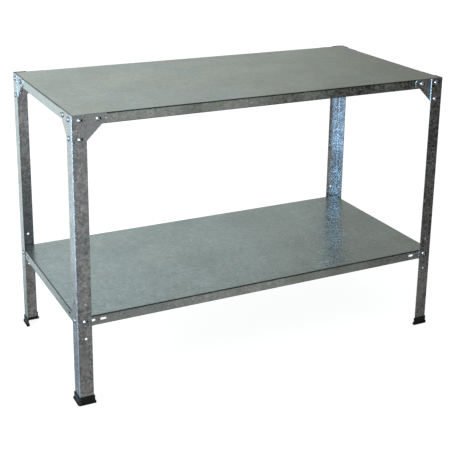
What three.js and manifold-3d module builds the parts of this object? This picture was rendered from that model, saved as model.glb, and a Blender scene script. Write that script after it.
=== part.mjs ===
// Bolt-together potting bench in galvanised sheet steel: four angle legs carry an upper and a
// lower pan, each pan being one sheet with its edges folded down. Eight flat corner plates brace
// the worktop, mushroom-head bolts with nuts hold every joint, and each leg stands in a plastic foot.
// Units are millimetres, +Z is up, and the origin is on the floor under the middle of the bench.
import * as THREE from 'three';
import { mergeVertices } from 'three/addons/utils/BufferGeometryUtils.js';
import Module from 'manifold-3d';

const wasm = await Module();
wasm.setup();

// ---- Driving dimensions ----
const LENGTH = 1160; // along X, over the outer faces of the legs
const DEPTH = 560; // along Y, over the outer faces of the legs
const HEIGHT = 812.5; // floor to the top ends of the legs
const FIT_GAP = 0.3; // air between touching pieces

const LEG_WIDTH = 40.5; // one flange of the angle
const LEG_SHEET = 1.5;
const LEG_BEND = 3; // outer radius of the fold
const LEG_BOTTOM = 4; // underside of the steel, inside the foot

const WORKTOP_Z = 811.5; // upper surface of the upper pan
const SHELF_Z = 257.5; // upper surface of the lower pan
const PAN_SHEET = 0.9;
const PAN_BEND = 2.2; // outer radius of the folded edges
const LIP_DEPTH = 28.5; // height of a folded-down edge
const LIP_RETURN = 9; // inward hem at the foot of a lip
const RETURN_SETBACK = 48; // hem stops this far from each corner
const CORNER_RELIEF = 3.4; // square notch where two lips would meet

const HOLE_LINE = 13; // below a pan's surface
const HOLE_PITCH = 50;
const BOLT_INSET = 23; // from the leg's outer corner, along either flange
const HOLE_RADIUS = 3.5;
const SLOT_LENGTH = 17;
const SLOT_HEIGHT = 6.5;
const OUTER_SLOT = 73; // slot centres, from the leg's outer corner
const INNER_SLOT = 42;

const PLATE_SHEET = 1.5;
const PLATE_START = 6; // clear of the leg's fold
const PLATE_REACH = 97; // end of the arm along the lip
const PLATE_DROP = 74; // end of the arm down the leg, below the worktop
const PLATE_ELBOW = 83.6; // where the sloping edge leaves the lip
const PLATE_ARM = 26.5; // width of the arm along the lip
const PLATE_ROUND = 4;
const PLATE_SLOT_START = 66;
const PLATE_SLOT_END = 92.5;

const HEAD_RADIUS = 7.4;
const HEAD_HEIGHT = 3.6;
const SHANK_RADIUS = 3;
const NUT_RADIUS = 5.8; // over the corners of the hexagon
const NUT_HEIGHT = 5;
const THREAD_STUB = 2.5;

const FOOT_GAP = 0.5; // air between a foot and the leg in it
const FOOT_WALL = 2;
const FOOT_FLARE = 2.5;
const FOOT_RIM = 6; // height of the flared base
const FOOT_INNER = 8; // height of the wall inside the angle
const FOOT_HEIGHT = 22.5;

const ROUND_STEPS = 10; // sides of a hole or shank
const BEND_STEPS = 4; // flats in a fold
const SLOT_STEPS = 4; // flats round one end of a slot
const OVERRUN = 4; // how far a cutter passes through its sheet

// ---- Layers, measured inwards from the outer face of a leg ----
const PLATE_FACE = LEG_SHEET + FIT_GAP;
const PLATE_BACK = PLATE_FACE + PLATE_SHEET;
const WORKTOP_FACE = PLATE_BACK + FIT_GAP;
const SHELF_FACE = LEG_SHEET + FIT_GAP;

// Going round anticlockwise from above, each corner is the first one turned a quarter further.
// walls[0] is the face along the local X axis, walls[1] the face along the local Y axis.
const CORNERS = [
  { name: 'front_left', x: -LENGTH / 2, y: -DEPTH / 2, turns: 0, walls: ['front', 'left'] },
  { name: 'front_right', x: LENGTH / 2, y: -DEPTH / 2, turns: 1, walls: ['right', 'front'] },
  { name: 'back_right', x: LENGTH / 2, y: DEPTH / 2, turns: 2, walls: ['back', 'right'] },
  { name: 'back_left', x: -LENGTH / 2, y: DEPTH / 2, turns: 3, walls: ['left', 'back'] },
];

const UPPER_HOLES_Z = WORKTOP_Z - HOLE_LINE;
const LOWER_HOLES_Z = SHELF_Z - HOLE_LINE;
const LEG_HOLE_HEIGHTS = [
  UPPER_HOLES_Z,
  UPPER_HOLES_Z - HOLE_PITCH,
  LOWER_HOLES_Z + HOLE_PITCH,
  LOWER_HOLES_Z,
  LOWER_HOLES_Z - HOLE_PITCH,
];

// ---- Materials ----
function metal(color, roughness) {
  return new THREE.MeshStandardMaterial({ color, roughness, metalness: 0.9 });
}

function plastic(color, roughness) {
  return new THREE.MeshStandardMaterial({ color, roughness, metalness: 0 });
}

const LEG_COLOR = 0x9aa0a2;
const PAN_COLOR = 0x9ea59f;
const PLATE_COLOR = 0x8f9492;
const BOLT_COLOR = 0xc9cdd0;
const FOOT_COLOR = 0x0c0d0e;

// ---- Solid helpers ----
function toSolid(geometry) {
  const bare = geometry.clone();
  bare.deleteAttribute('normal');
  bare.deleteAttribute('uv');
  const welded = mergeVertices(bare, 1e-4);
  const vertProperties = new Float32Array(welded.attributes.position.array);
  const triVerts = new Uint32Array(welded.index.array);
  return new wasm.Manifold(new wasm.Mesh({ numProp: 3, vertProperties, triVerts }));
}

function toGeometry(solid) {
  const mesh = solid.getMesh();
  const geometry = new THREE.BufferGeometry();
  geometry.setAttribute('position', new THREE.BufferAttribute(mesh.vertProperties, 3));
  geometry.setIndex(new THREE.BufferAttribute(mesh.triVerts, 1));
  geometry.computeVertexNormals();
  return geometry;
}

function subtractAll(solid, cutters) {
  let result = solid;
  for (const cutter of cutters) {
    result = result.subtract(cutter);
  }
  return result;
}

// A shape in the floor plane, standing from one height to another.
function standing(shape, fromZ, toZ) {
  const geometry = new THREE.ExtrudeGeometry(shape, {
    depth: toZ - fromZ,
    bevelEnabled: false,
    curveSegments: BEND_STEPS,
  });
  return geometry.translate(0, 0, fromZ);
}

// A shape drawn in X and Z, given a thickness along Y that is centred on y = 0.
function upright(shape, thickness, curveSegments) {
  const geometry = new THREE.ExtrudeGeometry(shape, {
    depth: thickness,
    bevelEnabled: false,
    curveSegments,
  });
  return geometry.rotateX(Math.PI / 2).translate(0, thickness / 2, 0);
}

function slab(lowX, lowY, lowZ, highX, highY, highZ) {
  const geometry = new THREE.BoxGeometry(highX - lowX, highY - lowY, highZ - lowZ);
  return geometry.translate((lowX + highX) / 2, (lowY + highY) / 2, (lowZ + highZ) / 2);
}

// Cutters for a wall along X; depthY is the middle of the sheet that they pass through.
function holeCutter(alongX, depthY, z) {
  const length = 2 * OVERRUN;
  const geometry = new THREE.CylinderGeometry(HOLE_RADIUS, HOLE_RADIUS, length, ROUND_STEPS);
  return geometry.translate(alongX, depthY, z);
}

function slotCutter(fromX, toX, depthY, z) {
  const radius = SLOT_HEIGHT / 2;
  const shape = new THREE.Shape();
  shape.absarc(toX - radius, z, radius, -Math.PI / 2, Math.PI / 2, false);
  shape.absarc(fromX + radius, z, radius, Math.PI / 2, (3 * Math.PI) / 2, false);
  return upright(shape, 2 * OVERRUN, SLOT_STEPS).translate(0, depthY, 0);
}

// The same cutter for the wall along Y, by swapping X and Y about the corner's diagonal.
function onSecondWall(geometry, depth) {
  return geometry.translate(0, -depth, 0).rotateZ(Math.PI / 2).translate(depth, 0, 0);
}

// ---- Legs ----
function legSection() {
  const inner = LEG_BEND - LEG_SHEET;
  const shape = new THREE.Shape();
  shape.moveTo(LEG_WIDTH, 0);
  shape.lineTo(LEG_WIDTH, LEG_SHEET);
  shape.absarc(LEG_BEND, LEG_BEND, inner, -Math.PI / 2, -Math.PI, true);
  shape.lineTo(LEG_SHEET, LEG_WIDTH);
  shape.lineTo(0, LEG_WIDTH);
  shape.absarc(LEG_BEND, LEG_BEND, LEG_BEND, Math.PI, (3 * Math.PI) / 2, false);
  return shape;
}

function makeLeg() {
  const middle = LEG_SHEET / 2;
  const cutters = [];
  for (const z of LEG_HOLE_HEIGHTS) {
    cutters.push(toSolid(holeCutter(BOLT_INSET, middle, z)));
    cutters.push(toSolid(onSecondWall(holeCutter(BOLT_INSET, middle, z), middle)));
  }
  return toGeometry(subtractAll(toSolid(standing(legSection(), LEG_BOTTOM, HEIGHT)), cutters));
}

// ---- Feet ----
// Plan of an L that wraps the leg: outward margin, where its arms end, and their inner face.
function footPlan(margin, end, innerFace) {
  const shape = new THREE.Shape();
  shape.moveTo(end, -margin);
  shape.lineTo(end, innerFace);
  shape.lineTo(innerFace, innerFace);
  shape.lineTo(innerFace, end);
  shape.lineTo(-margin, end);
  shape.lineTo(-margin, -margin);
  return shape;
}

function makeFoot() {
  const skirt = FOOT_GAP + FOOT_WALL;
  const rim = skirt + FOOT_FLARE;
  const innerFace = LEG_SHEET + skirt;
  const clear = LEG_SHEET + FOOT_GAP;
  const base = toSolid(standing(footPlan(rim, LEG_WIDTH + rim, innerFace), 0, FOOT_RIM));
  const wall = toSolid(standing(footPlan(skirt, LEG_WIDTH + skirt, innerFace), 1, FOOT_HEIGHT));
  const pocketPlan = footPlan(FOOT_GAP, LEG_WIDTH + FOOT_GAP, clear);
  const pocket = toSolid(standing(pocketPlan, LEG_BOTTOM - FOOT_GAP, HEIGHT));
  const far = LEG_WIDTH * 2;
  const inside = toSolid(slab(clear, clear, FOOT_INNER, far, far, HEIGHT));
  return toGeometry(base.add(wall).subtract(pocket).subtract(inside));
}

// ---- Corner plates ----
// Outline in X and Z below the worktop, where z = 0 is the pan's upper surface.
function plateOutline() {
  const top = -FIT_GAP;
  const shape = new THREE.Shape();
  shape.moveTo(PLATE_START, top);
  shape.lineTo(PLATE_START, -PLATE_DROP);
  shape.lineTo(PLATE_ELBOW - (PLATE_DROP - PLATE_ARM), -PLATE_DROP);
  shape.lineTo(PLATE_ELBOW, -PLATE_ARM);
  shape.absarc(PLATE_REACH - PLATE_ROUND, PLATE_ROUND - PLATE_ARM, PLATE_ROUND, -Math.PI / 2, 0, false);
  shape.absarc(PLATE_REACH - PLATE_ROUND, top - PLATE_ROUND, PLATE_ROUND, 0, Math.PI / 2, false);
  return shape;
}

function makePlate() {
  const cutters = [
    holeCutter(BOLT_INSET, 0, -HOLE_LINE),
    holeCutter(BOLT_INSET, 0, -HOLE_LINE - HOLE_PITCH),
    slotCutter(PLATE_SLOT_START, PLATE_SLOT_END, 0, -HOLE_LINE),
  ];
  const plate = toSolid(upright(plateOutline(), PLATE_SHEET, BEND_STEPS));
  return toGeometry(subtractAll(plate, cutters.map(toSolid)));
}

// ---- Pans ----
// A width with its two upper corners rounded, seen end on.
function archShape(width, top, bottom, radius) {
  const half = width / 2;
  const shape = new THREE.Shape();
  shape.moveTo(-half, bottom);
  shape.lineTo(half, bottom);
  shape.absarc(half - radius, top - radius, radius, 0, Math.PI / 2, false);
  shape.absarc(radius - half, top - radius, radius, Math.PI / 2, Math.PI, false);
  return shape;
}

// A block with all four upper edges rounded.
function roundedBlock(sizeX, sizeY, top, bottom, radius) {
  const alongY = upright(archShape(sizeX, top, bottom, radius), sizeY, BEND_STEPS);
  const alongX = upright(archShape(sizeY, top, bottom, radius), sizeX, BEND_STEPS);
  alongX.rotateZ(Math.PI / 2);
  return toSolid(alongY).intersect(toSolid(alongX));
}

function cornerCutters(face) {
  const middle = face + PAN_SHEET / 2;
  const slotFrom = (centre) => centre - SLOT_LENGTH / 2;
  const slotTo = (centre) => centre + SLOT_LENGTH / 2;
  const inset = RETURN_SETBACK;
  const hem = PAN_SHEET + FIT_GAP - LIP_DEPTH;
  return [
    holeCutter(BOLT_INSET, middle, -HOLE_LINE),
    slotCutter(slotFrom(INNER_SLOT), slotTo(INNER_SLOT), middle, -HOLE_LINE),
    slotCutter(slotFrom(OUTER_SLOT), slotTo(OUTER_SLOT), middle, -HOLE_LINE),
    onSecondWall(holeCutter(BOLT_INSET, middle, -HOLE_LINE), middle),
    onSecondWall(slotCutter(slotFrom(OUTER_SLOT), slotTo(OUTER_SLOT), middle, -HOLE_LINE), middle),
    slab(0, 0, -LIP_DEPTH - 1, face + CORNER_RELIEF, face + CORNER_RELIEF, 1),
    slab(face + PAN_SHEET, face + PAN_SHEET, -LIP_DEPTH - 1, inset, inset, hem),
  ];
}

// face is how far the lips stand in from the legs' outer faces.
function makePan(face) {
  const sizeX = LENGTH - 2 * face;
  const sizeY = DEPTH - 2 * face;
  const innerBend = PAN_BEND - PAN_SHEET;
  const hemTop = PAN_SHEET - LIP_DEPTH;
  const wallX = sizeX - 2 * PAN_SHEET;
  const wallY = sizeY - 2 * PAN_SHEET;
  const shell = roundedBlock(sizeX, sizeY, 0, -LIP_DEPTH, PAN_BEND)
    .subtract(roundedBlock(wallX, wallY, -PAN_SHEET, hemTop, innerBend))
    .subtract(toSolid(new THREE.BoxGeometry(wallX - 2 * LIP_RETURN, wallY - 2 * LIP_RETURN, 3 * LIP_DEPTH)
      .translate(0, 0, -PAN_SHEET * 2 - 1.5 * LIP_DEPTH)));
  const cutters = [];
  for (const corner of CORNERS) {
    for (const cutter of cornerCutters(face)) {
      cutter.rotateZ((corner.turns * Math.PI) / 2).translate(corner.x, corner.y, 0);
      cutters.push(toSolid(cutter));
    }
  }
  return toGeometry(subtractAll(shell, cutters));
}

// ---- Fasteners ----
// A mushroom-head bolt along +Y with its nut tight against a stack that starts at y = 0.
function makeBolt(stack) {
  const under = -FIT_GAP;
  const nutFace = stack + FIT_GAP;
  const nutBack = nutFace + NUT_HEIGHT;
  const tip = nutBack + THREAD_STUB;
  const bulge = (HEAD_RADIUS * HEAD_RADIUS + HEAD_HEIGHT * HEAD_HEIGHT) / (2 * HEAD_HEIGHT);
  const spread = Math.asin(HEAD_RADIUS / bulge);
  const domeCentre = under - HEAD_HEIGHT + bulge;
  const profile = [];
  const rings = 3;
  for (let i = 0; i <= rings; i += 1) {
    const angle = (spread * i) / rings;
    profile.push(new THREE.Vector2(bulge * Math.sin(angle), domeCentre - bulge * Math.cos(angle)));
  }
  profile.push(new THREE.Vector2(SHANK_RADIUS, under));
  profile.push(new THREE.Vector2(SHANK_RADIUS, tip));
  profile.push(new THREE.Vector2(0, tip));
  const bolt = toSolid(new THREE.LatheGeometry(profile, ROUND_STEPS));
  const nut = new THREE.CylinderGeometry(NUT_RADIUS, NUT_RADIUS, NUT_HEIGHT, 6);
  return toGeometry(bolt.add(toSolid(nut.translate(0, (nutFace + nutBack) / 2, 0))));
}

// Where each bolt sits on a wall, how deep its head is seated and how deep its stack goes.
const BOLT_PLACES = [
  { name: 'upper_bolt', along: BOLT_INSET, z: UPPER_HOLES_Z, from: 0, to: WORKTOP_FACE + PAN_SHEET },
  { name: 'plate_bolt', along: BOLT_INSET, z: UPPER_HOLES_Z - HOLE_PITCH, from: 0, to: PLATE_BACK },
  { name: 'lip_bolt', along: OUTER_SLOT, z: UPPER_HOLES_Z, from: PLATE_FACE, to: WORKTOP_FACE + PAN_SHEET },
  { name: 'shelf_bolt', along: BOLT_INSET, z: LOWER_HOLES_Z, from: 0, to: SHELF_FACE + PAN_SHEET },
];

// ---- Assembly ----
const legGeometry = makeLeg();
const footGeometry = makeFoot();
const plateGeometry = makePlate();
const boltGeometries = BOLT_PLACES.map((place) => makeBolt(place.to - place.from));

function named(name, geometry, material) {
  const mesh = new THREE.Mesh(geometry, material);
  mesh.name = name;
  return mesh;
}

// Stands a piece on one of a corner's two walls, along that wall and inwards from its face.
function placeOnWall(mesh, wallIndex, along, inwards, z, turn) {
  if (wallIndex === 0) {
    mesh.position.set(along, inwards, z);
  } else {
    mesh.position.set(inwards, along, z);
    mesh.rotation.z = turn;
  }
  return mesh;
}

function makeCorner(corner) {
  const group = new THREE.Group();
  group.position.set(corner.x, corner.y, 0);
  group.rotation.z = (corner.turns * Math.PI) / 2;
  group.add(named(`${corner.name}_leg`, legGeometry, metal(LEG_COLOR, 0.42)));
  group.add(named(`${corner.name}_foot`, footGeometry, plastic(FOOT_COLOR, 0.5)));
  corner.walls.forEach((wall, wallIndex) => {
    const plate = named(`${corner.name}_${wall}_corner_plate`, plateGeometry, metal(PLATE_COLOR, 0.4));
    const plateMiddle = (PLATE_FACE + PLATE_BACK) / 2;
    group.add(placeOnWall(plate, wallIndex, 0, plateMiddle, WORKTOP_Z, Math.PI / 2));
    BOLT_PLACES.forEach((place, index) => {
      const bolt = named(`${corner.name}_${wall}_${place.name}`, boltGeometries[index], metal(BOLT_COLOR, 0.25));
      group.add(placeOnWall(bolt, wallIndex, place.along, place.from, place.z, -Math.PI / 2));
    });
  });
  return group;
}

const bench = new THREE.Group();
const worktop = named('worktop_pan', makePan(WORKTOP_FACE), metal(PAN_COLOR, 0.38));
worktop.position.z = WORKTOP_Z;
bench.add(worktop);
const shelf = named('lower_shelf_pan', makePan(SHELF_FACE), metal(PAN_COLOR, 0.38));
shelf.position.z = SHELF_Z;
bench.add(shelf);
for (const corner of CORNERS) {
  bench.add(makeCorner(corner));
}

export default bench;
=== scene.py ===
import math
import random

import bmesh
import bpy
from mathutils import Matrix, Vector
from mathutils.geometry import delaunay_2d_cdt


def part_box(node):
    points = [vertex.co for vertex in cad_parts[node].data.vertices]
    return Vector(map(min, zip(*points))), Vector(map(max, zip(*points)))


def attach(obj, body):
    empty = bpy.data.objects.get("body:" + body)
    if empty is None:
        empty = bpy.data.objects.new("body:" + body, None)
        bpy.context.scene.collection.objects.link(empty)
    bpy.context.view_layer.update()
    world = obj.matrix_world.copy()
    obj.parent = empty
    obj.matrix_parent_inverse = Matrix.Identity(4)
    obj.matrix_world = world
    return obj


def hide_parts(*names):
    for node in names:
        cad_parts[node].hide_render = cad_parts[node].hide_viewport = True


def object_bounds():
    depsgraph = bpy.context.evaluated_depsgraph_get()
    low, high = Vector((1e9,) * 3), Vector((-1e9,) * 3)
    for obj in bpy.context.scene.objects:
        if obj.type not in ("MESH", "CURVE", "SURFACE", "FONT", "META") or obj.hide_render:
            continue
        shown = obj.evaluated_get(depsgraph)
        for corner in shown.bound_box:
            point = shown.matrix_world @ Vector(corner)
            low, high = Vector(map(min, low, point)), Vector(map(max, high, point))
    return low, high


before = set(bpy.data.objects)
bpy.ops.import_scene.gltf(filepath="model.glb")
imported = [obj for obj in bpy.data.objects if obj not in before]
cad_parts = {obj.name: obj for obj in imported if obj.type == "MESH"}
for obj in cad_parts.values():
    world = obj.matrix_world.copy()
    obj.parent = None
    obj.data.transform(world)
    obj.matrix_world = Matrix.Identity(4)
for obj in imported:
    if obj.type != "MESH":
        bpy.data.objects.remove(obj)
cad_low, cad_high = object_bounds()

# ---------------------------------------------------------------- sizes (metres)
LEG_SHEET = 0.0015
LEG_BEND = 0.003  # outer radius of the fold
LEG_ROUND = 0.0015  # corners at the top of the walls
LEG_SOFTNESS = 0.00022  # bevel along the cut edges

PLATE_SHEET = 0.0015
PLATE_TOP_GAP = 0.0003  # below the worktop's surface
PLATE_START = 0.006
PLATE_REACH = 0.097
PLATE_ELBOW = 0.0836
PLATE_DROP = 0.074
PLATE_ARM = 0.0265
PLATE_ROUND = 0.004
PLATE_SLOT = (0.066, 0.0925)
PLATE_SOFTNESS = 0.00025

PAN_SHEET = 0.0009
PAN_BEND = 0.0022  # outer radius of the fold
CORNER_RELIEF = 0.0034
HEM_WIDTH = 0.009
HEM_SETBACK = 0.048  # from the leg's outer face to the end of the hem
HEM_RADIUS = 0.0016
HEM_SLIT = 0.0015
SLIT_REACH = 0.0005  # how far the slit beside a hem runs past the hem's fold
HEM_MITRE = 0.004

HOLE_LINE = 0.013  # below a pan's surface
HOLE_PITCH = 0.050
BOLT_INSET = 0.023
HOLE_RADIUS = 0.0035
SLOT_LENGTH = 0.017
SLOT_HEIGHT = 0.0065
OUTER_SLOT = 0.073
INNER_SLOT = 0.042

FOOT_GAP = 0.0005
FOOT_WALL = 0.002
FOOT_FLARE = 0.0025
FOOT_RIM = 0.006  # height of the flared part
FOOT_INNER = 0.008  # thickness of the floor inside the angle
FOOT_HEIGHT = 0.0225
FOOT_SOFTNESS = 0.0005

HEAD_RADIUS = 0.0074
HEAD_HEIGHT = 0.0036
HEAD_RIM = 0.0006
HEAD_RINGS = (0.9, 0.75, 0.6, 0.45)  # shares of the radius at which the dome is modelled
SHANK_RADIUS = 0.003
NUT_RADIUS = 0.0058
NUT_HEIGHT = 0.005
NUT_FACE = 0.82  # share of the nut's radius that its flat face takes
NUT_SLOPE = 0.577  # rise of the chamfer on the nut's corners
NUT_PLAY = 0.0002
THREAD_STUB = 0.0025
THREAD_PITCH = 0.001
THREAD_DEPTH = 0.00035
RECESS_REACH = 0.0029  # half the span of the cross recess
RECESS_HALF_WIDTH = 0.00065
RECESS_DEPTH = 0.0019
RECESS_TAPER = 0.72  # size of the recess's floor, as a share of its mouth

SHOULDER = 0.0020  # strip beside a fold over which the painted fold shading fades
SAME_PLACE = 0.000001  # two points closer than this are one
WELD = 1e-7  # the same, for the triangulation
OVERRUN = 0.01  # how far a fold line is drawn past the edge of a blank
SMOOTH_ANGLE = math.radians(32)

BEND_STEPS = 8
HEM_STEPS = 4
HOLE_STEPS = 28
BOLT_STEPS = 48
CORNER_STEPS = 4
PLATE_STEPS = 6
FOOT_STEPS = 12
BOLT_SEED = 7

# ---------------------------------------------------------------- studio
CAMERA_PLACE = (-1.280, -2.556, 1.436)
CAMERA_YAW = -27.91  # degrees, seen from above
CAMERA_PITCH = 16.12  # degrees below level
CAMERA_ROLL = 1.16  # degrees
CAMERA_LENS = 77.3  # millimetres, like the sensor
CAMERA_SHIFT = (-0.0507, -0.1916)
SENSOR_WIDTH = 36.0
CLIP_END = 200.0

FLOOR_SIZE = 40.0  # half its side
FLOOR_DROP = 0.0005  # below the feet
FLOOR_GLOW = 0.89
WALL_RADIUS = 36.0
WALL_LOW = -1.0
WALL_HIGH = 30.0
WALL_STEPS = 48

DIM_SIDE = (0.90, -0.43, 0.0)  # where the studio is dimmest, at the front right
STUDIO_STRENGTH = 1.35
# Place along the way from the dim side (0) to the bright side (1), and the colour there.
STUDIO_TONES = [
    (0.00, (0.006, 0.006, 0.004)),
    (0.055, (0.006, 0.006, 0.004)),
    (0.075, (0.016, 0.016, 0.013)),
    (0.100, (0.060, 0.059, 0.051)),
    (0.118, (0.360, 0.357, 0.335)),
    (0.148, (0.470, 0.472, 0.460)),
    (0.172, (0.440, 0.448, 0.445)),
    (0.190, (0.090, 0.085, 0.072)),
    (0.25, (0.120, 0.115, 0.098)),
    (0.31, (0.170, 0.166, 0.148)),
    (0.41, (0.225, 0.225, 0.204)),
    (0.49, (0.385, 0.392, 0.366)),
    (0.58, (0.485, 0.496, 0.470)),
    (0.83, (0.700, 0.800, 0.830)),
    (1.00, (0.830, 0.950, 1.000)),
]
# Tint by height, from straight down (0) past level (0.5) to straight up (1), on the bright side only.
STUDIO_LEVELS = [
    (0.00, (0.26, 0.28, 0.32)),
    (0.275, (0.26, 0.28, 0.32)),
    (0.325, (1.00, 1.00, 1.00)),
    (0.61, (1.00, 1.00, 0.96)),
    (0.68, (0.91, 1.07, 1.20)),
    (1.00, (0.86, 1.00, 1.12)),
]
TINT_STARTS = (0.36, 0.48)  # stretch of the way over which that tint comes in
DIM_SKY = (0.15, 0.15, 0.145)  # above eye level on the dim side
DIM_SKY_ENDS = (0.36, 0.30)
LEFT_SKY = (0.40, 0.43, 0.42)  # above eye level on the bright side
LEFT_SKY_STARTS = (0.62, 0.76)
SKY_STARTS = (0.12, 0.26)  # upward part of a direction over which both skies come in

LIGHT_TARGET = (0, 0, 0.5)
KEY_PLACE = (-3.2, -0.8, 1.8)
KEY_SIZE = (2.0, 2.0)
KEY_POWER = 70
KEY_COLOUR = (0.92, 0.97, 1.0)
BLUE_PLACE = (-2.8, -3.8, 0.6)  # a patch of blue sky that the legs mirror
BLUE_SIZE = (2.6, 1.3)
BLUE_POWER = 205
BLUE_COLOUR = (0.32, 0.62, 1.0)

# Anticlockwise from above, each corner is the first one turned a quarter further.
CORNERS = [
    {"name": "front_left", "turns": 0, "walls": ("front", "left"), "signs": (-1, -1)},
    {"name": "front_right", "turns": 1, "walls": ("right", "front"), "signs": (1, -1)},
    {"name": "back_right", "turns": 2, "walls": ("back", "right"), "signs": (1, 1)},
    {"name": "back_left", "turns": 3, "walls": ("left", "back"), "signs": (-1, 1)},
]
OUTWARD = {"front": (0, -1), "right": (1, 0), "back": (0, 1), "left": (-1, 0)}
WALL_TURNS = {"front": 0, "right": 1, "back": 2, "left": 3}

front_leg_low, front_leg_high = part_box("front_left_leg")
_, back_leg_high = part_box("back_right_leg")
LEG_WIDTH = front_leg_high.x - front_leg_low.x
LEG_BOTTOM = front_leg_low.z
LEG_TOP = front_leg_high.z
HALF_LENGTH = back_leg_high.x
HALF_DEPTH = back_leg_high.y
WORKTOP_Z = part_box("worktop_pan")[1].z
SHELF_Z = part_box("lower_shelf_pan")[1].z


def corner_matrix(corner):
    sign_x, sign_y = corner["signs"]
    place = Matrix.Translation((sign_x * HALF_LENGTH, sign_y * HALF_DEPTH, 0))
    return place @ Matrix.Rotation(corner["turns"] * math.pi / 2, 4, "Z")


# ---------------------------------------------------------------- flat patterns
def circle(centre_u, centre_v, radius, steps=HOLE_STEPS):
    points = []
    for i in range(steps):
        angle = 2 * math.pi * i / steps
        points.append((centre_u + radius * math.cos(angle), centre_v + radius * math.sin(angle)))
    return points


def arc(centre_u, centre_v, radius, start, end, steps):
    points = []
    for i in range(steps + 1):
        angle = math.radians(start + (end - start) * i / steps)
        points.append((centre_u + radius * math.cos(angle), centre_v + radius * math.sin(angle)))
    return points


def slot_outline(from_u, to_u, centre_v, along="u"):
    radius = SLOT_HEIGHT / 2
    points = arc(to_u - radius, centre_v, radius, -90, 90, HOLE_STEPS // 2)
    points += arc(from_u + radius, centre_v, radius, 90, 270, HOLE_STEPS // 2)
    if along == "v":
        points = [(v, u) for u, v in reversed(points)]
    return points


def inside(point, polygon):
    hit = False
    u, v = point
    count = len(polygon)
    for i in range(count):
        u0, v0 = polygon[i]
        u1, v1 = polygon[(i + 1) % count]
        if (v0 > v) != (v1 > v) and u < (u1 - u0) * (v - v0) / (v1 - v0) + u0:
            hit = not hit
    return hit


def flat_triangles(outline, holes, stations, extra_points=()):
    """Triangulates a blank with its holes; stations are lines that the folds need."""
    points = []
    edges = []
    for loop in [outline, *holes]:
        start = len(points)
        points += loop
        edges += [(start + i, start + (i + 1) % len(loop)) for i in range(len(loop))]
    for a, b in stations:
        edges.append((len(points), len(points) + 1))
        points += [a, b]
    points += list(extra_points)
    result = delaunay_2d_cdt([Vector(p) for p in points], edges, [], 0, WELD)
    flat, triangles = result[0], result[2]
    kept = []
    for triangle in triangles:
        middle = sum((flat[i] for i in triangle), Vector((0, 0))) / 3
        if inside(middle, outline) and not any(inside(middle, hole) for hole in holes):
            kept.append(tuple(triangle))
    return flat, kept


def fold_sheet(name, blank, thickness, place, matrix=None):
    """Gives a triangulated blank its thickness and folds it.

    place(u, v) gives the middle of the sheet there, its normal, and whether it lies in a fold,
    which the mesh keeps as its "fold" values.
    """
    flat, triangles = blank
    used = sorted({i for triangle in triangles for i in triangle})
    order = {old: new for new, old in enumerate(used)}
    count = len(used)
    front = []
    back = []
    bends = []
    for i in used:
        point, normal, bent = place(flat[i].x, flat[i].y)
        front.append(point + normal * (thickness / 2))
        back.append(point - normal * (thickness / 2))
        bends.append(float(bent))
    faces = []
    edges = set()
    for triangle in triangles:
        a, b, c = (order[i] for i in triangle)
        faces.append((a, b, c))
        faces.append((c + count, b + count, a + count))
        edges.update(((a, b), (b, c), (c, a)))
    for a, b in sorted(edges):
        if (b, a) not in edges:
            faces.append((b, a, a + count, b + count))
    mesh = bpy.data.meshes.new(name)
    mesh.from_pydata(front + back, [], faces)
    mark = mesh.attributes.new("fold", "FLOAT", "POINT")
    mark.data.foreach_set("value", bends + bends)
    if matrix is not None:
        mesh.transform(matrix)
    return finish_piece(name, mesh)


def finish_piece(name, mesh):
    """Turns a mesh's faces outwards, smooths it between its sharp edges, and puts it in the scene."""
    mesh.validate()
    builder = bmesh.new()
    builder.from_mesh(mesh)
    bmesh.ops.recalc_face_normals(builder, faces=builder.faces)
    builder.to_mesh(mesh)
    builder.free()
    mesh.shade_smooth()
    mesh.set_sharp_from_angle(angle=SMOOTH_ANGLE)
    piece = bpy.data.objects.new(name, mesh)
    bpy.context.scene.collection.objects.link(piece)
    return piece


def soften(piece, width, segments=2, angle=55):
    """Rounds the edges that are sharper than the angle."""
    bevel = piece.modifiers.new("softened_edges", "BEVEL")
    bevel.width = width
    bevel.segments = segments
    bevel.limit_method = "ANGLE"
    bevel.angle_limit = math.radians(angle)
    bevel.use_clamp_overlap = True


def adopt(piece, node, material):
    """Lets a finished piece stand for a CAD node."""
    piece.data.materials.clear()
    piece.data.materials.append(material)
    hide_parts(node)
    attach(piece, "root")


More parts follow.
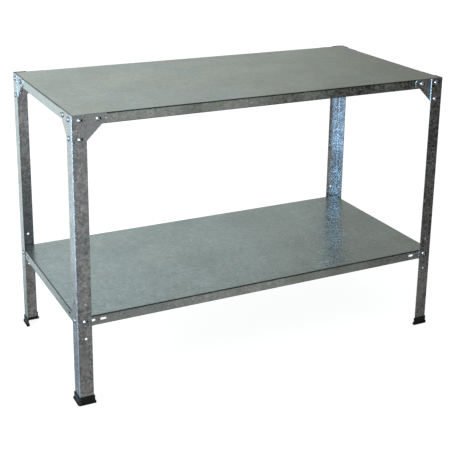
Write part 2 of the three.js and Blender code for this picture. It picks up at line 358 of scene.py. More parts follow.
# ---------------------------------------------------------------- node helpers
class Nodes:
    """A short way to write a node tree."""

    def __init__(self, tree):
        self.tree = tree

    def new(self, kind):
        return self.tree.nodes.new(kind)

    def link(self, source, target):
        """Joins a socket to another, or gives it a plain value."""
        if hasattr(source, "is_output"):
            self.tree.links.new(source, target)
        else:
            target.default_value = source

    def vector(self, operation, a, b=None, scale=None, output="Vector"):
        node = self.new("ShaderNodeVectorMath")
        node.operation = operation
        self.link(a, node.inputs[0])
        if b is not None:
            self.link(b, node.inputs[1])
        if scale is not None:
            self.link(scale, node.inputs["Scale"])
        return node.outputs[output]

    def math(self, operation, a, b=0.0, clamp=False):
        node = self.new("ShaderNodeMath")
        node.operation = operation
        node.use_clamp = clamp
        self.link(a, node.inputs[0])
        self.link(b, node.inputs[1])
        return node.outputs[0]

    def times(self, a, b):
        return self.math("MULTIPLY", a, b)

    def noise(self, position, scale, detail, roughness, output="Fac"):
        node = self.new("ShaderNodeTexNoise")
        self.link(position, node.inputs["Vector"])
        node.inputs["Scale"].default_value = scale
        node.inputs["Detail"].default_value = detail
        node.inputs["Roughness"].default_value = roughness
        return node.outputs[output]

    def crystals(self, position, scale):
        node = self.new("ShaderNodeTexVoronoi")
        node.feature = "F1"
        self.link(position, node.inputs["Vector"])
        node.inputs["Scale"].default_value = scale
        return node.outputs["Color"]

    def channels(self, colour):
        node = self.new("ShaderNodeSeparateColor")
        self.link(colour, node.inputs[0])
        return node.outputs[0], node.outputs[1], node.outputs[2]

    def remap(self, value, low, high, to_low, to_high):
        node = self.new("ShaderNodeMapRange")
        self.link(value, node.inputs["Value"])
        node.inputs["From Min"].default_value = low
        node.inputs["From Max"].default_value = high
        node.inputs["To Min"].default_value = to_low
        node.inputs["To Max"].default_value = to_high
        return node.outputs["Result"]

    def rise(self, value, start, end, most=1.0):
        """Nothing at the start, the most at the end, and held beyond both."""
        return self.remap(value, start, end, 0.0, most)

    def ramp(self, value, stops):
        node = self.new("ShaderNodeValToRGB")
        self.link(value, node.inputs["Fac"])
        elements = node.color_ramp.elements
        while len(elements) < len(stops):
            elements.new(0.5)
        for element, (place, _) in zip(elements, stops):
            element.position = place
        for element, (_, colour) in zip(elements, stops):
            element.color = rgb(*colour)
        return node.outputs["Color"]

    def mix(self, factor, a, b, blend="MIX"):
        node = self.new("ShaderNodeMix")
        node.data_type = "RGBA"
        node.blend_type = blend
        self.link(factor, node.inputs["Factor"])
        self.link(a, node.inputs["A"])
        self.link(b, node.inputs["B"])
        return node.outputs["Result"]

    def bump(self, height, distance, strength, normal=None):
        node = self.new("ShaderNodeBump")
        node.inputs["Strength"].default_value = strength
        node.inputs["Distance"].default_value = distance
        self.link(height, node.inputs["Height"])
        if normal is not None:
            self.link(normal, node.inputs["Normal"])
        return node.outputs["Normal"]

    def stretched(self, position, scale, turn):
        node = self.new("ShaderNodeMapping")
        self.link(position, node.inputs["Vector"])
        node.inputs["Scale"].default_value = scale
        node.inputs["Rotation"].default_value = turn
        return node.outputs["Vector"]


class MaterialNodes(Nodes):
    """The nodes of a new material that ends in one principled shader."""

    def __init__(self, name):
        self.material = bpy.data.materials.new(name)
        self.material.use_nodes = True
        super().__init__(self.material.node_tree)
        self.tree.nodes.clear()
        self.shader = self.new("ShaderNodeBsdfPrincipled")
        output = self.new("ShaderNodeOutputMaterial")
        self.link(self.shader.outputs["BSDF"], output.inputs["Surface"])
        self.position = self.new("ShaderNodeTexCoord").outputs["Object"]

    def give(self, name, source):
        """Feeds one input of the shader."""
        self.link(source, self.shader.inputs[name])


def rgb(red, green, blue):
    return (red, green, blue, 1.0)


def scaled(colour, factor):
    """A colour made lighter or darker, never past full."""
    return rgb(*[min(1.0, channel * factor) for channel in colour[:3]])


# ---------------------------------------------------------------- materials
def zinc_crystals(n, cell):
    """Large and small crystals with slightly wandering edges, as two sets of random channels."""
    wander = n.noise(n.position, cell * 1.3, detail=2.0, roughness=0.5, output="Color")
    wander = n.vector("SUBTRACT", wander, (0.5, 0.5, 0.5))
    wander = n.vector("SCALE", wander, scale=0.8 / cell)
    bent = n.vector("ADD", n.position, wander)
    return n.crystals(bent, cell), n.crystals(bent, cell * 2.3)


def zinc_colour(n, tones, chance, frost, dark, light, contrast, stain, grain):
    """Crystals between dark and light, with bright flecks painted in as glints, wide clouds and dull
    patches.
    """
    tone, fine_tone = tones
    weight = n.times(tone, 0.35)
    weight = n.math("ADD", weight, n.times(fine_tone, 0.35))
    weight = n.math("ADD", weight, n.times(frost, 0.30))
    weight = n.rise(weight, 0.5 - contrast, 0.5 + contrast)
    zinc = n.mix(weight, dark, light)
    # Painted glints: a few crystals made much lighter, standing in for the sparkle of the spangle.
    painted_glint = n.rise(chance, 0.86, 0.93, 0.55 * grain)
    zinc = n.mix(painted_glint, zinc, scaled(light, 1.25))
    cloud = n.noise(n.position, 6.0, detail=4.0, roughness=0.6)
    zinc = n.mix(n.rise(cloud, 0.38, 0.66, stain), zinc, scaled(dark, 0.80))
    patch = n.noise(n.position, 30.0, detail=3.0, roughness=0.6)
    return n.mix(n.rise(patch, 0.35, 0.65, 0.35), zinc, scaled(dark, 0.88))


def zinc_relief(n, flakes, frost, scratch, tilt, grain):
    """Each crystal leans its own way, on a sheet that is faintly wavy and finely pitted."""
    geometry = n.new("ShaderNodeNewGeometry")
    lean = n.vector("SUBTRACT", flakes, (0.5, 0.5, 0.5))
    lean = n.vector("SCALE", lean, scale=tilt)
    leaning = n.vector("ADD", geometry.outputs["Normal"], lean)
    leaning = n.vector("NORMALIZE", leaning)
    dents = n.noise(n.position, 5.0, detail=1.0, roughness=0.4)
    wave = n.bump(dents, distance=0.012, strength=0.6, normal=leaning)
    relief = n.math("ADD", n.times(frost, 0.5), n.times(scratch, -0.3))
    return n.bump(relief, distance=0.0004, strength=0.3 * grain, normal=wave)


def galvanised(name, dark, light, cell, contrast, roughness, tilt, stain, grain,
               painted_fold_colour, painted_fold_share):
    """Hot-dip galvanised sheet: angular zinc crystals, each with its own tone, gloss and lean.

    cell sets how many crystals there are in a metre, contrast how far their tones are evened
    out, stain the strength of the clouds, grain that of the flecks painted in as glints and of the pits,
    and the last two arguments the colour painted along the folds (painted shade when it is dark, a
    painted highlight when it is light) and how much of it shows where the mesh is marked as folded.
    """
    n = MaterialNodes(name)
    flakes, fine = zinc_crystals(n, cell)
    tone, gloss, _ = n.channels(flakes)
    fine_tone, fine_gloss, chance = n.channels(fine)
    frost = n.noise(n.position, cell * 2.0, detail=4.0, roughness=0.7)
    along = n.stretched(n.position, (6.0, 260.0, 260.0), (0.0, 0.0, 0.12))
    scratch = n.rise(n.noise(along, 1.0, detail=2.0, roughness=0.5), 0.70, 0.76)
    bloom = n.rise(n.noise(n.position, 38.0, detail=5.0, roughness=0.65), 0.62, 0.78, 0.4)

    zinc = zinc_colour(n, (tone, fine_tone), chance, frost, dark, light, contrast, stain, grain)
    zinc = n.mix(n.times(scratch, 0.25), zinc, light)
    zinc = n.mix(bloom, zinc, scaled(light, 1.12))
    # Painted shade along the pans' folds and a painted highlight along the legs' rounded corners, mixed
    # into the base colour where the mesh is marked as folded.
    fold = n.new("ShaderNodeAttribute")
    fold.attribute_name = "fold"
    painted_fold_shading = n.times(fold.outputs["Fac"], n.remap(frost, 0.3, 0.6, 0.6, 1.0))
    n.give("Base Color", n.mix(n.times(painted_fold_shading, painted_fold_share), zinc, painted_fold_colour))

    rough = n.math("ADD", n.times(gloss, 0.14), n.times(fine_gloss, 0.08))
    rough = n.math("ADD", rough, roughness - 0.11)  # the crystals' own share is 0.11 on average
    n.give("Roughness", n.math("ADD", rough, n.times(bloom, 0.25), clamp=True))
    n.give("Metallic", 1.0)
    n.give("Normal", zinc_relief(n, flakes, frost, scratch, tilt, grain))
    return n.material


def bright_zinc(name):
    """Zinc-plated fastener: bright, with faint dull patches, and painted shade that darkens the head
    where it turns away from view.
    """
    n = MaterialNodes(name)
    patch = n.noise(n.position, 260.0, detail=3.0, roughness=0.6)
    tint = n.rise(n.noise(n.position, 90.0, detail=2.0, roughness=0.5), 0.3, 0.7)
    colour = n.mix(tint, rgb(0.82, 0.82, 0.82), rgb(0.66, 0.67, 0.69))
    colour = n.mix(n.rise(patch, 0.6, 0.75, 0.5), colour, rgb(0.55, 0.56, 0.56))
    # Painted shade: the head's colour goes dark towards its rim, drawing a dark outline round each bolt.
    slope = n.new("ShaderNodeLayerWeight")
    slope.inputs["Blend"].default_value = 0.5
    painted_rim_shade = n.rise(slope.outputs["Facing"], 0.30, 0.62, 0.85)
    n.give("Base Color", n.mix(painted_rim_shade, colour, rgb(0.07, 0.07, 0.075)))
    n.give("Roughness", n.remap(patch, 0.3, 0.8, 0.10, 0.24))
    n.give("Metallic", 1.0)
    return n.material


def black_plastic(name):
    """Moulded foot: black, faintly grained, with small pale scuffs."""
    n = MaterialNodes(name)
    grain = n.noise(n.position, 900.0, detail=3.0, roughness=0.6)
    scuff = n.rise(n.noise(n.position, 120.0, detail=5.0, roughness=0.7), 0.58, 0.78, 0.35)
    n.give("Base Color", n.mix(scuff, rgb(0.006, 0.008, 0.007), rgb(0.050, 0.053, 0.052)))
    n.give("Roughness", n.remap(grain, 0.3, 0.7, 0.38, 0.55))
    n.give("Normal", n.bump(grain, distance=0.0002, strength=0.2))
    n.give("Specular IOR Level", 0.28)
    return n.material


pan_steel = galvanised(
    "pan_galvanised", rgb(0.46, 0.485, 0.455), rgb(0.62, 0.65, 0.62),
    cell=130.0, contrast=0.36, roughness=0.26, tilt=0.04, stain=0.35, grain=0.4,
    # painted shade: a dark line along every fold of the worktop
    painted_fold_colour=rgb(0.03, 0.034, 0.034), painted_fold_share=0.95,
)
shelf_steel = galvanised(
    "shelf_galvanised", rgb(0.46, 0.485, 0.455), rgb(0.62, 0.65, 0.62),
    cell=130.0, contrast=0.30, roughness=0.30, tilt=0.016, stain=0.35, grain=0.6,
    # painted shade: a dark line along every fold of the lower shelf
    painted_fold_colour=rgb(0.03, 0.034, 0.034), painted_fold_share=0.95,
)
leg_steel = galvanised(
    "leg_galvanised", rgb(0.37, 0.365, 0.36), rgb(0.72, 0.72, 0.725),
    cell=145.0, contrast=0.34, roughness=0.28, tilt=0.055, stain=0.35, grain=1.0,
    # painted highlight: pale blue-white along the leg's rounded corner
    painted_fold_colour=rgb(0.80, 0.84, 0.90), painted_fold_share=0.60,
)
plate_steel = galvanised(
    "plate_galvanised", rgb(0.52, 0.515, 0.50), rgb(0.66, 0.655, 0.64),
    cell=200.0, contrast=0.35, roughness=0.32, tilt=0.04, stain=0.30, grain=0.5,
    painted_fold_colour=rgb(0.50, 0.50, 0.50), painted_fold_share=0.0,
)
bolt_zinc = bright_zinc("bolt_bright_zinc")
foot_plastic = black_plastic("foot_black_plastic")


# ---------------------------------------------------------------- legs
LEG_STRAIGHT = LEG_WIDTH - LEG_BEND
LEG_FOLD_RADIUS = LEG_BEND - LEG_SHEET / 2
LEG_FOLD_LENGTH = LEG_FOLD_RADIUS * math.pi / 2


def leg_fold(u, v):
    """u runs across the angle from the edge of its second wall to the edge of its first."""
    middle = LEG_SHEET / 2
    past = u - LEG_STRAIGHT
    if past < 0:
        return Vector((middle, LEG_WIDTH - u, v)), Vector((-1, 0, 0)), False
    if u > LEG_STRAIGHT + LEG_FOLD_LENGTH:
        return Vector((LEG_BEND + past - LEG_FOLD_LENGTH, middle, v)), Vector((0, -1, 0)), False
    angle = math.pi + past / LEG_FOLD_RADIUS
    normal = Vector((math.cos(angle), math.sin(angle), 0))
    return Vector((LEG_BEND, LEG_BEND, v)) + normal * LEG_FOLD_RADIUS, normal, True


def leg_blank():
    width = 2 * LEG_STRAIGHT + LEG_FOLD_LENGTH
    outline = arc(width - LEG_ROUND, LEG_TOP - LEG_ROUND, LEG_ROUND, 0, 90, CORNER_STEPS)
    outline += arc(LEG_ROUND, LEG_TOP - LEG_ROUND, LEG_ROUND, 90, 180, CORNER_STEPS)
    outline += [(0, LEG_BOTTOM), (width, LEG_BOTTOM)]
    upper = WORKTOP_Z - HOLE_LINE
    lower = SHELF_Z - HOLE_LINE
    holes = []
    for height in (upper, upper - HOLE_PITCH, lower + HOLE_PITCH, lower, lower - HOLE_PITCH):
        holes.append(circle(LEG_WIDTH - BOLT_INSET, height, HOLE_RADIUS))
        holes.append(circle(width - (LEG_WIDTH - BOLT_INSET), height, HOLE_RADIUS))
    lines = [LEG_STRAIGHT - SHOULDER, LEG_STRAIGHT + LEG_FOLD_LENGTH + SHOULDER]
    lines += [LEG_STRAIGHT + LEG_FOLD_LENGTH * i / BEND_STEPS for i in range(BEND_STEPS + 1)]
    stations = [((u, LEG_BOTTOM - OVERRUN), (u, LEG_TOP + OVERRUN)) for u in lines]
    return flat_triangles(outline, holes, stations)


def make_legs():
    blank = leg_blank()
    for corner in CORNERS:
        matrix = corner_matrix(corner)
        leg = fold_sheet(f"{corner['name']}_angle", blank, LEG_SHEET, leg_fold, matrix)
        soften(leg, LEG_SOFTNESS)
        adopt(leg, f"{corner['name']}_leg", leg_steel)


# ---------------------------------------------------------------- corner plates
def plate_blank():
    """Drawn along the wall and up, with v = 0 at the worktop's surface."""
    top = -PLATE_TOP_GAP
    round_u = PLATE_REACH - PLATE_ROUND
    outline = [(PLATE_START, top), (PLATE_START, -PLATE_DROP)]
    outline += [(PLATE_ELBOW - (PLATE_DROP - PLATE_ARM), -PLATE_DROP), (PLATE_ELBOW, -PLATE_ARM)]
    outline += arc(round_u, PLATE_ROUND - PLATE_ARM, PLATE_ROUND, -90, 0, PLATE_STEPS)
    outline += arc(round_u, top - PLATE_ROUND, PLATE_ROUND, 0, 90, PLATE_STEPS)
    holes = [
        circle(BOLT_INSET, -HOLE_LINE, HOLE_RADIUS),
        circle(BOLT_INSET, -HOLE_LINE - HOLE_PITCH, HOLE_RADIUS),
        slot_outline(*PLATE_SLOT, -HOLE_LINE),
    ]
    return flat_triangles(outline, holes, [])


def make_plate(corner, wall, blank):
    node = f"{corner['name']}_{wall}_corner_plate"
    low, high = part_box(node)
    middle = (low + high) / 2
    origin = corner_matrix(corner).translation
    outward = Vector((*OUTWARD[wall], 0))
    along = Vector((1, 0, 0)) if outward.x == 0 else Vector((0, 1, 0))
    along = along * (1 if (middle - origin).dot(along) > 0 else -1)
    start = origin + outward * (outward.dot(middle) - outward.dot(origin))

    def place(u, v):
        point = start + along * u
        return Vector((point.x, point.y, WORKTOP_Z + v)), outward, False

    plate = fold_sheet(f"{corner['name']}_{wall}_plate", blank, PLATE_SHEET, place)
    soften(plate, PLATE_SOFTNESS)
    adopt(plate, node, plate_steel)


def make_plates():
    blank = plate_blank()
    for corner in CORNERS:
        for wall in corner["walls"]:
            make_plate(corner, wall, blank)


# ---------------------------------------------------------------- pans
class Pan:
    """A tray as a flat blank and the way it folds: four lips down, each with a hem turned in."""

    def __init__(self, node):
        low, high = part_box(node)
        lip_depth = high.z - low.z
        self.surface = high.z - PAN_SHEET / 2
        self.radius = PAN_BEND - PAN_SHEET / 2
        self.bend = self.radius * math.pi / 2
        self.hem_radius = HEM_RADIUS - PAN_SHEET / 2
        self.hem_bend = self.hem_radius * math.pi / 2
        self.straight = lip_depth - PAN_BEND - HEM_RADIUS
        self.flat_x = high.x - PAN_BEND
        self.flat_y = high.y - PAN_BEND
        self.relief_x = high.x - CORNER_RELIEF
        self.relief_y = high.y - CORNER_RELIEF
        self.hem_x = HALF_LENGTH - HEM_SETBACK
        self.hem_y = HALF_DEPTH - HEM_SETBACK
        self.plain_end = self.bend + lip_depth - PAN_BEND
        self.hem_start = self.bend + self.straight
        self.hem_end = self.hem_start + self.hem_bend + HEM_WIDTH
        self.hole_at = self.bend + HOLE_LINE - PAN_BEND

    def profile(self, distance, hemmed):
        """Outward travel, drop and normal (outward, up) at a distance past the start of a fold."""
        radius, hem_radius = self.radius, self.hem_radius
        if distance <= 0:
            return distance, 0.0, (0.0, 1.0)
        if distance < self.bend:
            angle = distance / radius
            drop = radius - radius * math.cos(angle)
            return radius * math.sin(angle), drop, (math.sin(angle), math.cos(angle))
        if distance <= self.hem_start or not hemmed:
            return radius, radius + distance - self.bend, (1.0, 0.0)
        past = distance - self.hem_start
        if past < self.hem_bend:
            angle = past / hem_radius
            out = radius - hem_radius + hem_radius * math.cos(angle)
            drop = radius + self.straight + hem_radius * math.sin(angle)
            return out, drop, (math.cos(angle), -math.sin(angle))
        drop = radius + self.straight + hem_radius
        return radius - hem_radius - (past - self.hem_bend), drop, (0.0, -1.0)

    def in_fold(self, past):
        return past < self.bend + SAME_PLACE or past > self.hem_start - SAME_PLACE

    def place(self, u, v):
        """The folded point of a flat one, its normal, and whether it lies in a fold or a hem."""
        past_x = abs(u) - self.flat_x
        past_y = abs(v) - self.flat_y
        if past_x > -SAME_PLACE:
            side = math.copysign(1.0, u)
            out, drop, (outward, up) = self.profile(past_x, abs(v) <= self.hem_y + HEM_SLIT / 4)
            point = Vector((side * (self.flat_x + out), v, self.surface - drop))
            return point, Vector((side * outward, 0, up)), self.in_fold(past_x)
        if past_y > -SAME_PLACE:
            side = math.copysign(1.0, v)
            out, drop, (outward, up) = self.profile(past_y, abs(u) <= self.hem_x + HEM_SLIT / 4)
            point = Vector((u, side * (self.flat_y + out), self.surface - drop))
            return point, Vector((0, side * outward, up)), self.in_fold(past_y)
        return Vector((u, v, self.surface)), Vector((0, 0, 1)), False

    def lip_steps(self, relief, hem):
        """Along and past-the-fold points of one lip's edge, from its first corner to its last."""
        slit = self.hem_start - SLIT_REACH
        half = [(-relief, self.plain_end), (-hem - HEM_SLIT, self.plain_end)]
        half += [(-hem - HEM_SLIT, slit), (-hem, slit)]
        half += [(-hem, self.hem_end - HEM_MITRE), (-hem + HEM_MITRE, self.hem_end)]
        return half + [(-along, past) for along, past in reversed(half)]

    def outline(self):
        long_lip = (self.relief_x, self.hem_x, self.flat_y, self.relief_y)
        short_lip = (self.relief_y, self.hem_y, self.flat_x, self.relief_x)
        points = []
        for turn in range(4):
            relief, hem, flat, notch = long_lip if turn % 2 == 0 else short_lip
            for along, past in [(-relief, notch - flat), *self.lip_steps(relief, hem)]:
                point = Vector((along, -(flat + past)))
                point.rotate(Matrix.Rotation(turn * math.pi / 2, 2))
                points.append((point.x, point.y))
        return points

    def lip_holes(self, start, step, line, slots, along):
        """A bolt hole and slots on the line of one lip, going inwards from a corner."""
        bolt = start + step * BOLT_INSET
        holes = [circle(bolt, line, HOLE_RADIUS) if along == "u" else circle(line, bolt, HOLE_RADIUS)]
        for slot in slots:
            centre = start + step * slot
            ends = (centre - SLOT_LENGTH / 2, centre + SLOT_LENGTH / 2)
            holes.append(slot_outline(*ends, line, along))
        return holes

    def corner_holes(self, corner):
        """The holes of the two lips that meet at a corner; the one along its first axis has two slots."""
        matrix = corner_matrix(corner)
        origin = matrix.translation
        line_x = math.copysign(self.flat_x + self.hole_at, origin.x)
        line_y = math.copysign(self.flat_y + self.hole_at, origin.y)
        holes = []
        for axis, slots in (((1, 0, 0), (INNER_SLOT, OUTER_SLOT)), ((0, 1, 0), (OUTER_SLOT,))):
            direction = matrix.to_3x3() @ Vector(axis)
            if abs(direction.x) > 0.5:
                holes += self.lip_holes(origin.x, direction.x, line_y, slots, "u")
            else:
                holes += self.lip_holes(origin.y, direction.y, line_x, slots, "v")
        return holes

    def fold_lines(self):
        """Lines across the blank at every step of every fold, and where the painted shade along a fold
        ends.
        """
        hem_fold_end = self.hem_start + self.hem_bend
        depths = [-SHOULDER, self.bend + SHOULDER]
        depths += [self.hem_start - SHOULDER / 2, hem_fold_end + SHOULDER / 2]
        depths += [self.bend * i / BEND_STEPS for i in range(BEND_STEPS + 1)]
        depths += [self.hem_start + self.hem_bend * i / HEM_STEPS for i in range(HEM_STEPS + 1)]
        lines = []
        for depth in depths:
            for side in (-1, 1):
                x = side * (self.flat_x + depth)
                y = side * (self.flat_y + depth)
                lines.append(((x, -self.relief_y), (x, self.relief_y)))
                lines.append(((-self.relief_x, y), (self.relief_x, y)))
        return lines

    def blank(self):
        holes = [hole for corner in CORNERS for hole in self.corner_holes(corner)]
        return flat_triangles(self.outline(), holes, self.fold_lines())


def make_pans():
    for node, material in (("worktop_pan", pan_steel), ("lower_shelf_pan", shelf_steel)):
        pan = Pan(node)
        sheet = fold_sheet(f"{node}_sheet", pan.blank(), PAN_SHEET, pan.place)
        adopt(sheet, node, material)


# ---------------------------------------------------------------- bolts
def dome_height(radius):
    """Height of the mushroom head above its seat at a distance from its axis."""
    crown = HEAD_HEIGHT - HEAD_RIM
    ball = (HEAD_RADIUS ** 2 + crown ** 2) / (2 * crown)
    return HEAD_RIM + math.sqrt(max(ball ** 2 - radius ** 2, 0.0)) - (ball - crown)


def cross_outline():
    reach, half = RECESS_REACH, RECESS_HALF_WIDTH
    arm = [(half, half), (half, reach), (-half, reach)]
    points = []
    for turn in range(4):
        for u, v in arm:
            spot = Vector((u, v))
            spot.rotate(Matrix.Rotation(turn * math.pi / 2, 2))
            points.append((spot.x, spot.y))
    return points


def add_ring(builder, radius, height):
    """A round of points about the Y axis."""
    return [builder.verts.new((x, height, z)) for x, z in circle(0, 0, radius, BOLT_STEPS)]


def add_hexagon(builder, radius, height, slope):
    """The same round drawn out to a hexagon, whose corners are chamfered along Y."""
    across = radius * math.cos(math.radians(30))
    ring = []
    for i in range(BOLT_STEPS):
        angle = 2 * math.pi * i / BOLT_STEPS
        folded = angle % math.radians(60) - math.radians(30)
        spread = across / math.cos(folded)
        drop = slope * max(spread - across, 0.0)
        point = (spread * math.cos(angle), height + drop, spread * math.sin(angle))
        ring.append(builder.verts.new(point))
    return ring


def bridge(builder, first, second):
    count = len(first)
    for i in range(count):
        j = (i + 1) % count
        builder.faces.new((first[i], first[j], second[j], second[i]))


def add_head(builder, seat):
    """A domed head with a cross recess; returns the ring where its shank begins."""
    cross = cross_outline()
    rings = [p for share in HEAD_RINGS for p in circle(0, 0, HEAD_RADIUS * share, BOLT_STEPS // 2)]
    flat, triangles = flat_triangles(circle(0, 0, HEAD_RADIUS, BOLT_STEPS), [cross], [], rings)
    crown = [builder.verts.new((p.x, seat - dome_height(p.length), p.y)) for p in flat]
    for a, b, c in triangles:
        builder.faces.new((crown[a], crown[b], crown[c]))
    rim = add_ring(builder, HEAD_RADIUS, seat)
    neck = add_ring(builder, SHANK_RADIUS, seat)
    bridge(builder, crown[:BOLT_STEPS], rim)
    bridge(builder, rim, neck)
    depth = seat - HEAD_HEIGHT + RECESS_DEPTH
    floor = [builder.verts.new((u * RECESS_TAPER, depth, v * RECESS_TAPER)) for u, v in cross]
    bridge(builder, crown[BOLT_STEPS:BOLT_STEPS + len(cross)], floor)
    builder.faces.new(floor)
    return neck


def add_thread(builder, last, start, tip):
    """The shank from its neck to its tip, ridged from the start of the nut on."""
    root = SHANK_RADIUS - THREAD_DEPTH
    height = start
    while height < tip - THREAD_PITCH:
        for offset, radius in ((0.0, SHANK_RADIUS), (0.5, root)):
            ring = add_ring(builder, radius, height + offset * THREAD_PITCH)
            bridge(builder, last, ring)
            last = ring
        height += THREAD_PITCH
    end = add_ring(builder, root, tip)
    bridge(builder, last, end)
    builder.faces.new(end)


def add_nut(builder, face, back):
    bore = SHANK_RADIUS + NUT_PLAY
    layers = [
        add_ring(builder, bore, face),
        add_ring(builder, NUT_RADIUS * NUT_FACE, face),
        add_hexagon(builder, NUT_RADIUS, face, NUT_SLOPE),
        add_hexagon(builder, NUT_RADIUS, back, -NUT_SLOPE),
        add_ring(builder, NUT_RADIUS * NUT_FACE, back),
        add_ring(builder, bore, back),
    ]
    for first, second in zip(layers, layers[1:] + layers[:1]):
        bridge(builder, first, second)


def bolt_mesh(name, seat, tip):
    """A bolt along +Y: head towards -Y with its seat at y = seat, nut and threaded end at y = tip."""
    builder = bmesh.new()
    neck = add_head(builder, seat)
    nut_back = tip - THREAD_STUB
    nut_face = nut_back - NUT_HEIGHT
    add_thread(builder, neck, nut_face, tip)
    add_nut(builder, nut_face, nut_back)
    mesh = bpy.data.meshes.new(name)
    builder.to_mesh(mesh)
    builder.free()
    return mesh


def make_bolt(node, wall, twist):
    """Fills the node's box with a bolt that points inwards from its wall."""
    low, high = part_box(node)
    length = abs(Vector((*OUTWARD[wall], 0)).dot(high - low))
    turn = Matrix.Rotation(WALL_TURNS[wall] * math.pi / 2, 4, "Z")
    place = Matrix.Translation((low + high) / 2) @ turn @ Matrix.Rotation(twist, 4, "Y")
    mesh = bolt_mesh(f"{node}_and_nut", -length / 2 + HEAD_HEIGHT, length / 2)
    mesh.transform(place)
    adopt(finish_piece(f"{node}_and_nut", mesh), node, bolt_zinc)


def make_bolts():
    twists = random.Random(BOLT_SEED)
    for corner in CORNERS:
        for wall in corner["walls"]:
            for role in ("upper_bolt", "plate_bolt", "lip_bolt", "shelf_bolt"):
                make_bolt(f"{corner['name']}_{wall}_{role}", wall, twists.uniform(0, math.pi))


# ---------------------------------------------------------------- feet
def foot_plan(margin, end, inner):
    """Plan of an L round the leg, its outer corner rounded about the centre of the leg's fold."""
    points = [(end, -margin), (end, inner), (inner, inner), (inner, end), (-margin, end)]
    return points + arc(LEG_BEND, LEG_BEND, LEG_BEND + margin, 180, 270, FOOT_STEPS)


def prism(name, outline, low, high):
    """An upright solid between two heights."""
    def place(u, v):
        return Vector((u, v, (low + high) / 2)), Vector((0, 0, 1)), False

    return fold_sheet(name, flat_triangles(outline, [], []), high - low, place)


def settle(piece):
    """Replaces a piece's mesh by what its modifiers make of it."""
    bpy.context.view_layer.update()
    view = bpy.context.evaluated_depsgraph_get()
    mesh = bpy.data.meshes.new_from_object(piece.evaluated_get(view))
    piece.modifiers.clear()
    piece.data = mesh


def combine(piece, tool, operation):
    """Joins or cuts a piece with a tool, and uses the tool up."""
    modifier = piece.modifiers.new(operation, "BOOLEAN")
    modifier.operation = operation
    modifier.solver = "EXACT"
    modifier.object = tool
    settle(piece)
    bpy.data.objects.remove(tool)


def foot_shell(name, matrix):
    """A cap round the leg's end: a wide rim, a wall above it, and a pocket for the metal."""
    skirt = FOOT_GAP + FOOT_WALL
    rim = skirt + FOOT_FLARE
    inner = LEG_SHEET + skirt
    clear = LEG_SHEET + FOOT_GAP
    far = LEG_WIDTH * 2
    open_inside = [(clear, clear), (far, clear), (far, far), (clear, far)]
    around_leg = foot_plan(FOOT_GAP, LEG_WIDTH + FOOT_GAP, clear)
    shell = prism(name, foot_plan(rim, LEG_WIDTH + rim, inner), 0.0, FOOT_RIM)
    wall = prism("wall", foot_plan(skirt, LEG_WIDTH + skirt, inner), FOOT_RIM / 2, FOOT_HEIGHT)
    pocket = prism("pocket", around_leg, LEG_BOTTOM - FOOT_GAP, LEG_WIDTH)
    inside = prism("inside", open_inside, FOOT_INNER, LEG_WIDTH)
    combine(shell, wall, "UNION")
    combine(shell, pocket, "DIFFERENCE")
    combine(shell, inside, "DIFFERENCE")
    soften(shell, FOOT_SOFTNESS, segments=3, angle=40)
    settle(shell)
    shell.data.transform(matrix)
    return shell


def make_feet():
    for corner in CORNERS:
        foot = foot_shell(f"{corner['name']}_foot_cap", corner_matrix(corner))
        foot.data.shade_smooth()
        foot.data.set_sharp_from_angle(angle=SMOOTH_ANGLE)
        adopt(foot, f"{corner['name']}_foot", foot_plastic)


make_legs()
make_plates()
make_pans()
make_bolts()
make_feet()


# ---------------------------------------------------------------- stage
def make_camera():
    camera_data = bpy.data.cameras.new("photo_camera")
    camera = bpy.data.objects.new("photo_camera", camera_data)
    bpy.context.scene.collection.objects.link(camera)
    yaw = Matrix.Rotation(math.radians(CAMERA_YAW), 4, "Z")
    pitch = Matrix.Rotation(math.radians(90 - CAMERA_PITCH), 4, "X")
    roll = Matrix.Rotation(math.radians(CAMERA_ROLL), 4, "Z")
    look = yaw @ pitch @ roll
    camera.matrix_world = Matrix.Translation(CAMERA_PLACE) @ look
    camera_data.sensor_width = SENSOR_WIDTH
    camera_data.lens = CAMERA_LENS
    camera_data.shift_x, camera_data.shift_y = CAMERA_SHIFT
    camera_data.clip_end = CLIP_END
    bpy.context.scene.camera = camera


def glowing_surface(name, points, faces, grey, roughness, glow):
    """A plain white surface of the studio that the metal doesn't mirror."""
    mesh = bpy.data.meshes.new(name)
    mesh.from_pydata(points, [], faces)
    surface = bpy.data.objects.new(name, mesh)
    bpy.context.scene.collection.objects.link(surface)
    n = MaterialNodes(f"{name}_white")
    n.give("Base Color", rgb(grey, grey, grey))
    n.give("Roughness", roughness)
    n.give("Emission Color", rgb(1, 1, 1))
    n.give("Emission Strength", glow)
    mesh.materials.append(n.material)
    surface.visible_glossy = False
    return surface


def make_floor():
    size = FLOOR_SIZE
    points = [(-size, -size, 0), (size, -size, 0), (size, size, 0), (-size, size, 0)]
    floor = glowing_surface("studio_floor", points, [(0, 1, 2, 3)], 0.35, 0.9, FLOOR_GLOW)
    floor.location.z = cad_low.z - FLOOR_DROP


def make_backdrop():
    """A pale wall all round, seen by the camera only, so every view has the same plain ground."""
    ring = circle(0, 0, WALL_RADIUS, WALL_STEPS)
    points = [(x, y, WALL_LOW) for x, y in ring] + [(x, y, WALL_HIGH) for x, y in ring]
    faces = []
    for i in range(WALL_STEPS):
        j = (i + 1) % WALL_STEPS
        faces.append((i, j, j + WALL_STEPS, i + WALL_STEPS))
    wall = glowing_surface("studio_backdrop", points, faces, 0.8, 0.5, 1.0)
    wall.visible_diffuse = False
    wall.visible_shadow = False


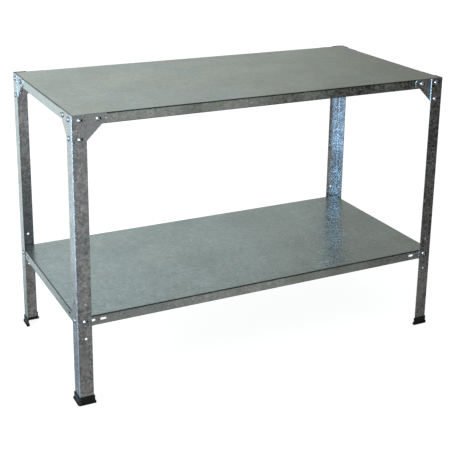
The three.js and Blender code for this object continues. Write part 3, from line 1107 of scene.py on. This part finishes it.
def area_light(name, place, size, power, colour):
    light = bpy.data.lights.new(name, "AREA")
    light.shape = "RECTANGLE"
    light.size, light.size_y = size
    light.energy = power
    light.color = colour
    lamp = bpy.data.objects.new(name, light)
    lamp.location = place
    lamp.rotation_mode = "QUATERNION"
    aim = Vector(LIGHT_TARGET) - Vector(place)
    lamp.rotation_quaternion = aim.to_track_quat("-Z", "Y")
    bpy.context.scene.collection.objects.link(lamp)
    return lamp


def make_lights():
    key = area_light("key_left", KEY_PLACE, KEY_SIZE, KEY_POWER, KEY_COLOUR)
    key.visible_glossy = False  # a mirror image of it would burn the tops out
    blue = area_light("sky_front_left", BLUE_PLACE, BLUE_SIZE, BLUE_POWER, BLUE_COLOUR)
    blue.visible_diffuse = False  # only the metal mirrors it, so the floor stays white


def make_world():
    """A pale studio, open and bright behind and to the left, and dim to the front right."""
    world = bpy.data.worlds.new("studio")
    bpy.context.scene.world = world
    world.use_nodes = True
    n = Nodes(world.node_tree)
    direction = n.new("ShaderNodeTexCoord").outputs["Generated"]
    split = n.new("ShaderNodeSeparateXYZ")
    n.link(direction, split.inputs["Vector"])
    upward = split.outputs["Z"]
    dim_side = Vector(DIM_SIDE).normalized()
    facing = n.vector("DOT_PRODUCT", direction, dim_side, output="Value")
    around = n.rise(facing, 1.0, -1.0)

    tones = n.ramp(around, STUDIO_TONES)
    levels = n.ramp(n.rise(upward, -1.0, 1.0), STUDIO_LEVELS)
    colour = n.mix(n.rise(around, *TINT_STARTS), tones, levels, "MULTIPLY")
    overhead = n.rise(upward, *SKY_STARTS)
    over_dim_side = n.times(n.rise(around, *DIM_SKY_ENDS), overhead)
    colour = n.mix(over_dim_side, colour, rgb(*DIM_SKY))
    over_bright_side = n.times(n.rise(around, *LEFT_SKY_STARTS), overhead)
    colour = n.mix(over_bright_side, colour, rgb(*LEFT_SKY))
    background = n.tree.nodes["Background"]
    n.link(colour, background.inputs["Color"])
    background.inputs["Strength"].default_value = STUDIO_STRENGTH


make_camera()
make_floor()
make_backdrop()
make_world()
make_lights()
bpy.context.scene.view_settings.view_transform = "Standard"
